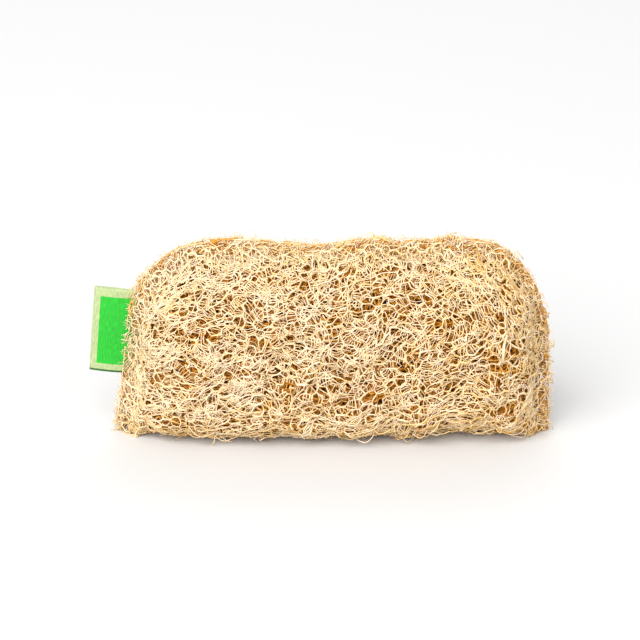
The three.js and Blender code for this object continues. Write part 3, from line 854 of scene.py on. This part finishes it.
def thinned_out(batch, own, crowded, share):
    """A batch less a share of the tubes whose middle is in a crowded place."""
    middle = batch[0][:, batch[0].shape[1] // 2]
    stays = ~(crowded(middle) & (own.uniform(size=len(middle)) < share))
    return (*[part[stays] for part in batch[:4]], batch[4])


def side_web(name, first, cell, gap, seed):
    """The web of one side of the pillow, a little wider than the side, as a mesh."""
    own = np.random.default_rng(seed)
    place, run_at, open_at = [shifted(task, first - OVERLAP) for task in (on_skin, run, open_share)]
    size = (ACROSS, AROUND / 2 + 2 * OVERLAP)
    batches = web_batches(own, *size, cell, place, run_at, open_at, gap=gap, stretch=1.07, warp=1.4)
    loofah_mesh(name, [thinned_out(batch, own, near_corners, CORNER_SHARE) for batch in batches])


side_web("loofah_web_front", FRONT[0], 3.7, 1.15, 31)
side_web("loofah_web_back", BACK[0], 4.2, 1.2, 32)

own = np.random.default_rng(33)
middle_net = dual_net(staggered_sites(own, ACROSS, AROUND, cell=3.4, jitter=0.45), AROUND)
# The middle net's tone of 0.56 is painted shade of its depth.
middle_size = dict(depth=1.8, radius=0.27, steps=2, tone=0.56, rough=0.3, swell=1.35)
loofah_mesh("loofah_middle_net", [net_batch(own, middle_net, AROUND, on_skin, **middle_size)])

# %% [markdown]
# Over each web lie long fibres in bundles of three, loose single ones, a few thick ribs, and stars of short
# arms. Curls stand out along the front of the base, where the photo shows them. Through the holes one sees no
# way into the real sponge, so two layers of thick fibres close the view below, painted darker as the shade of
# the depth.


# %% The pillow's long fibres
def long_fibres(name, seed, v_range, count, stars, curls=()):
    """Bundled fibres and stars over one side of the pillow, and curls along its base."""
    own = np.random.default_rng(seed)
    starts = bundle_starts(own, count, v_range, per_bundle=3, gap=1.3, spread=0.4, thinned=0.5)
    look = dict(length=10, radius=0.18, depth=(-0.15, 0.25), weave=0.1, steps=8, tone=-0.04)
    surface = fibre_batch(own, starts, **look, curl=0.04, swing=0.3)
    starts = bundle_starts(own, count // 4, v_range, per_bundle=1, gap=0.75, spread=1.2)
    look = dict(length=5.5, radius=0.14, depth=(-0.4, 0.2), weave=0.2, steps=6, tone=0.0)
    loose = fibre_batch(own, starts, **look, curl=0.08, swing=0.5, ends=0.5)
    knots = star_batch(
        own, stars, v_range, arms=11, length=3.2, radius=0.17, depth=(-0.2, 0.1), steps=4, tone=-0.05
    )
    starts = bundle_starts(own, count // 10, v_range, per_bundle=1, gap=0, spread=0.7)
    look = dict(length=13, radius=0.23, depth=(-0.25, 0.1), weave=0.12, steps=9, tone=-0.04)
    batches = [surface, loose, knots, fibre_batch(own, starts, **look, curl=0.06, swing=0.35)]
    if len(curls):
        look = dict(height=1.9, length=8, radius=0.16, steps=9, tone=0.0)
        batches.append(loop_batch(own, np.repeat(curls, 5), 0.5 * AROUND - 15, **look))
    loofah_mesh(name, batches)


CURL_X = np.array([-37.0, 8, 20, 25, 30, 51, 61])
CURLS = ACROSS * (CURL_X + LENGTH / 2 - FLANGE) / (LENGTH - 2 * FLANGE)
long_fibres("loofah_fibres_front", 41, FRONT, 720, 80, CURLS)
long_fibres("loofah_fibres_back", 42, BACK, 700, 60)


def deep_fibres(name, seed, depth, radius, tone):
    """Thick fibres under the nets, all round the pillow, painted darker by their high tone as shade of the
    depth.
    """
    own = np.random.default_rng(seed)
    starts = bundle_starts(own, 3000, (0, AROUND), per_bundle=3, gap=1.6, spread=1.0)
    batch = fibre_batch(own, starts, 15, radius, depth, weave=0.4, steps=6, tone=tone, curl=0.03, swing=0.35)
    loofah_mesh(name, [batch])


# The tones of 0.74 and 0.88 are painted shade of the depth.
deep_fibres("loofah_under_fibres", 43, depth=(2.1, 3.7), radius=0.36, tone=0.74)
deep_fibres("loofah_deep_fibres", 44, depth=(3.9, 6.5), radius=0.6, tone=0.88)

# %% [markdown]
# The flange is pressed flat, so its strands lie close: short slanting ones, long ones along the edge, and
# thick ones between its two faces, painted golden as the shade between them. Each face has a web and fibres
# that cross the seam onto it, and loose ends stand out of the cut edge. Fine fuzz stands off the whole
# pillow.

# %% The flange and the fuzz
own = np.random.default_rng(51)
flange_batches = [
    flange_batch(own, 900, 5.5, 0.19, steps=4, tone=0.04, inward=(0.2, 5.5), slope=0.5, depth=1.5),
    flange_batch(own, 400, 9, 0.2, steps=5, tone=0.04, inward=(1.0, 5.5), slope=0.05, depth=1.8),
    # Painted shade: the thick strands between the flange's faces get a tone of 0.62.
    flange_batch(own, 1500, 7, 0.36, steps=4, tone=0.62, inward=(1.8, 6.8), slope=0.3, depth=0.9),
    fray_batch(own, 1100, length=2.1, radius=0.11, steps=3, tone=-0.05, depth=1.8),
]
outer = [thinned_out(batch, own, at_right_end, RIGHT_FLANGE_SHARE) for batch in flange_batches[:2]]
flange_batches[:2] = outer
level = lambda t, w: own.normal(0, 0.7, len(t))
few_open = lambda t, w: 0.22 + 0.3 * (t > 0.7 * SEWN)
for side in (-1, 1):
    flange_batches += web_batches(own, SEWN, 8, 3.4, flange_side(side), level, few_open, vein=0.24, rung=0.19)
    flange_batches.append(crossing_batch(own, 160, side, length=6.5, radius=0.19, steps=4, tone=0.0))
loofah_mesh("loofah_flange", flange_batches)
own = np.random.default_rng(52)
loofah_mesh("loofah_fuzz", [fuzz_batch(own, 1500, length=2.4, height=0.9, radius=0.1, steps=3, tone=0.05)])

# %% [markdown]
# ## The seam
# Two threads of two plies each run along the seam, on the front and on the back, and dip into the
# flange at every stitch. The plies wind round the thread's path. The photo shows the front one at
# both lower corners, so both threads ride higher there, and the fibres hide them elsewhere.

# %% Threads
STITCHES, THREAD_OVER, THREAD_DIP = 68, 0.9, 0.4
PLY_RADIUS, PLY_PITCH, PLY_SIDES, THREAD_POINTS = 0.2, 1.6, 4, 760
SHOWN_OVER, SHOWN_RIGHT, SHOWN_LEFT, SHOWN_FADE, LEFT_SHARE = 2.8, 0.88, 0.1, 0.04, 0.6


def thread_paths(side):
    """Two plies round the path of a lockstitch: high between the holes and low at them."""
    share = np.linspace(0.012, 0.988, THREAD_POINTS)
    line = along(sewn_line(SEAM_INSET), share)
    run_out = unit(np.gradient(line, axis=0))
    hole = np.abs(np.sin(np.pi * STITCHES * share)) ** 0.35
    at_left = LEFT_SHARE * np.clip((SHOWN_LEFT - share) / SHOWN_FADE, 0, 1)
    shown = np.clip((share - SHOWN_RIGHT) / SHOWN_FADE, 0, 1) + at_left
    y = side * (THREAD_DIP + (THREAD_OVER + SHOWN_OVER * shown - THREAD_DIP) * hole)
    centre = np.column_stack([line[:, 0], y, line[:, 1]])
    across = np.column_stack([-run_out[:, 1], np.zeros(THREAD_POINTS), run_out[:, 0]])
    up = np.cross(across, unit(np.gradient(centre, axis=0)))
    turn = 2 * np.pi * reaches(centre) / PLY_PITCH
    apart = PLY_RADIUS * 0.85
    plies = [np.cos(turn + a)[:, None] * across + np.sin(turn + a)[:, None] * up for a in (0, np.pi)]
    return np.array([centre + apart * ply for ply in plies])


THREAD = plain_material("seam_thread", (0.90, 0.76, 0.56), 0.6)[0]
for name, side in (("seam_thread_front", -1), ("seam_thread_back", 1)):
    plies = thread_paths(side)
    shape = plies.shape[:2]
    facing = np.tile([0.3, 0.0, 1.0], (2, 1))
    batch = (plies, np.full(shape, PLY_RADIUS), facing, np.zeros(shape), PLY_SIDES)
    tube_mesh("sewn_" + name, [batch], name, THREAD)

# %% [markdown]
# ## The ribbon tab
# One flat ribbon, folded in half and caught in the seam. Its section runs out along one leaf, round the
# fold and back along the other, and its width runs up the seam. It has a green panel on each leaf and a
# woven face.

# %% Ribbon
TAB_WIDTH, TAB_LENGTH, TAB_INNER, TAB_Z, TAB_TILT = 31, 19.5, -63.7, 36.7, np.radians(5.5)
LEAF_GAP, LEAF_THICK, LEAF_FREE_FROM = 0.42, 0.3, 7.5
LEAF_BOW, LEAF_BOW_MORE, LEAF_SWAY = 0.35, 0.25, 0.5
FOLD_FROM, FOLD_TO, DARK_EDGE_SHARE = 0.435, 0.565, 0.022
TAB_PALE, TAB_BRIGHT, TAB_DARK = (0.41, 0.50, 0.23), (0.008, 0.45, 0.018), (0.02, 0.15, 0.015)


def ribbon(a, b):
    """Mid surface of the ribbon at a share a of its length and b of its width: a hairpin section, its
    leaves bowed a little apart, tilted with the seam."""
    r = LEAF_GAP
    straight = TAB_LENGTH - r
    total = 2 * straight + np.pi * r
    d = a * total
    angle = np.clip((d - straight) / r, 0, np.pi)
    x = -np.where(d < straight, d, np.where(d > total - straight, total - d, straight + r * np.sin(angle)))
    y = -r * np.cos(angle)
    free = np.clip((-x - LEAF_FREE_FROM) / (TAB_LENGTH - LEAF_FREE_FROM), 0, 1)
    bow = np.sin(np.pi * free) * (LEAF_BOW + LEAF_BOW_MORE * np.sin(np.pi * b)) * np.sign(y)
    sway = LEAF_SWAY * free**2 * np.sin(2.2 * np.pi * b + 0.6)
    z = (b - 0.5) * TAB_WIDTH
    turned_x = x * np.cos(TAB_TILT) + z * np.sin(TAB_TILT)
    turned_z = -x * np.sin(TAB_TILT) + z * np.cos(TAB_TILT)
    depth = y + bow * (np.abs(y) > 0.1) + sway
    return np.stack([TAB_INNER + turned_x, depth, TAB_Z + turned_z], axis=-1), total


def cells(g):
    """The quads of a grid of indices."""
    return np.stack([g[:-1, :-1], g[1:, :-1], g[1:, 1:], g[:-1, 1:]], axis=-1).reshape(-1, 4)


first_leaf, last_leaf = np.linspace(0, 0.475, 20), np.linspace(0.525, 1, 20)
lengthwise = np.concatenate([first_leaf, np.linspace(0.485, 0.515, 7), last_leaf])
grid_a, grid_b = np.meshgrid(lengthwise, np.linspace(0, 1, 33), indexing="ij")
middle, ribbon_length = ribbon(grid_a, grid_b)
half_sheet = unit(np.cross(np.gradient(middle, axis=0), np.gradient(middle, axis=1))) * LEAF_THICK / 2
shells = np.stack([middle + half_sheet, middle - half_sheet])
rows, cols = grid_a.shape
top, bottom = np.arange(2 * rows * cols).reshape(2, rows, cols)
rim = np.concatenate([top[:, 0], top[-1, 1:], top[-2::-1, -1], top[0, -2:0:-1]])
under = rim + rows * cols
walls = np.stack([rim, under, np.roll(under, -1), np.roll(rim, -1)], axis=1)
faces = np.concatenate([cells(top), cells(bottom)[:, ::-1], walls])
ribbon_mesh = bpy.data.meshes.new("ribbon_tab")
ribbon_mesh.from_pydata((shells.reshape(-1, 3) * 0.001).tolist(), [], faces.tolist())
uv = ribbon_mesh.uv_layers.new(name="UVMap")
share = np.stack([np.stack([grid_a, grid_b], axis=-1)] * 2).reshape(-1, 2)
uv.data.foreach_set("uv", share[faces.ravel()].astype(np.float32).ravel())
ribbon_mesh.polygons.foreach_set("use_smooth", np.arange(len(faces)) < len(faces) - len(walls))


def ribbon_material():
    """Pale ribbon with a plain green panel on each leaf, a dark strip along its lower edge, and a weave that
    shows in its height and, stretched along the ribbon's threads, in its colour."""
    material, shader = plain_material("ribbon_satin", TAB_PALE, 0.42)
    tree = material.node_tree
    place = add_node(tree, "TexCoord", "UV", {})
    a, b = [add_node(tree, "SeparateXYZ", axis, {"Vector": place}) for axis in "XY"]
    # The first stop is a dark strip along the ribbon's lower edge.
    stops = [(0, TAB_DARK), (DARK_EDGE_SHARE, TAB_PALE), (0.09, TAB_BRIGHT), (0.9, TAB_PALE)]
    panel = colour_ramp(tree, b, stops, "CONSTANT")
    black, white = (0, 0, 0), (1, 1, 1)
    fold = colour_ramp(tree, a, [(0, black), (FOLD_FROM, white), (FOLD_TO, black)], "CONSTANT")
    at_fold = maths(tree, "MULTIPLY", fold, maths(tree, "GREATER_THAN", b, DARK_EDGE_SHARE))
    inputs = {"Factor": at_fold, "A": panel, "B": (*TAB_PALE, 1)}
    printed = add_node(tree, "Mix", "Result", inputs, data_type="RGBA")
    inputs = {"Vector": place, "Scale": 26, "Distortion": 0.3}
    weave = add_node(tree, "TexWave", "Fac", inputs, bands_direction="X")
    inputs = {"Strength": 0.25, "Distance": 0.0002, "Height": weave}
    tree.links.new(add_node(tree, "Bump", "Normal", inputs), shader.inputs["Normal"])
    stretched = add_node(tree, "Mapping", "Vector", {"Vector": place, "Scale": (70, 9, 1)})
    threads = add_node(tree, "TexNoise", "Fac", {"Vector": stretched, "Scale": 1.6})
    shade = map_range(tree, threads, (0.3, 0.7), (0.72, 1.15))
    woven = add_node(tree, "VectorMath", "Vector", {0: printed, "Scale": shade}, operation="SCALE")
    tree.links.new(woven, shader.inputs["Base Color"])
    return material


ribbon_mesh.materials.append(ribbon_material())
ribbon_object = linked("ribbon_tab", ribbon_mesh)
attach(ribbon_object, "root")
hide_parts("label_tab")
print(f"Ribbon: {TAB_WIDTH} by {ribbon_length:.1f} mm flat")

# %% [markdown]
# ## The stage
# The photo is a product shot on white. A large soft key light from the upper left of the camera, a weak
# fill, a light behind and a pale sky make its mild shadows. The camera has a long lens and looks down
# 22 degrees. From here on, sizes are in metres.

# %% Stage, camera and light
CAMERA_LENS, CAMERA_AWAY, CAMERA_TILT = 130, 0.8, np.radians(22)
CAMERA_TARGET = np.array([-0.0042, 0, 0.0416])
floor_mesh = bpy.data.meshes.new("floor")
floor_mesh.from_pydata([(-3, -3, 0), (3, -3, 0), (3, 3, 0), (-3, 3, 0)], [], [(0, 1, 2, 3)])
floor_mesh.materials.append(plain_material("white_table", (0.68, 0.68, 0.68), 0.8)[0])
linked("floor", floor_mesh)


def aimed(name, data, place, target):
    """A new object at a place, turned to look at a target."""
    obj = linked(name, data)
    obj.location = place
    obj.rotation_euler = Vector(np.array(target) - np.array(place)).to_track_quat("-Z", "Y").to_euler()
    return obj


def area_light(name, place, size, power, colour, target=(0, 0, 0.03)):
    """A square soft light aimed at a target, which is the sponge for most."""
    light = bpy.data.lights.new(name, "AREA")
    light.size, light.energy, light.color = size, power, colour
    aimed(name, light, place, target)


camera = bpy.data.cameras.new("camera")
camera.lens = CAMERA_LENS
camera_place = CAMERA_TARGET + CAMERA_AWAY * np.array([0, -np.cos(CAMERA_TILT), np.sin(CAMERA_TILT)])
bpy.context.scene.camera = aimed("camera", camera, camera_place, CAMERA_TARGET)
area_light("key", (-1.0, -1.7, 1.7), 2.3, 92, (1.0, 0.985, 0.972))
area_light("fill", (1.3, -1.7, 1.0), 1.6, 13, (1.0, 0.99, 0.98))
area_light("rear", (0.1, 2.2, 1.9), 2.0, 26, (1.0, 0.99, 0.98), (0, 1.2, 0))
world = bpy.data.worlds.new("studio")
world.use_nodes = True
sky = world.node_tree.nodes["Background"]
sky.inputs["Color"].default_value = (0.97, 0.985, 1.0, 1)
sky.inputs["Strength"].default_value = 0.6
bpy.context.scene.world = world
bpy.context.scene.view_settings.view_transform = "Standard"
print(f"Stage: a lens of {CAMERA_LENS} mm and {len(bpy.data.lights)} lights")
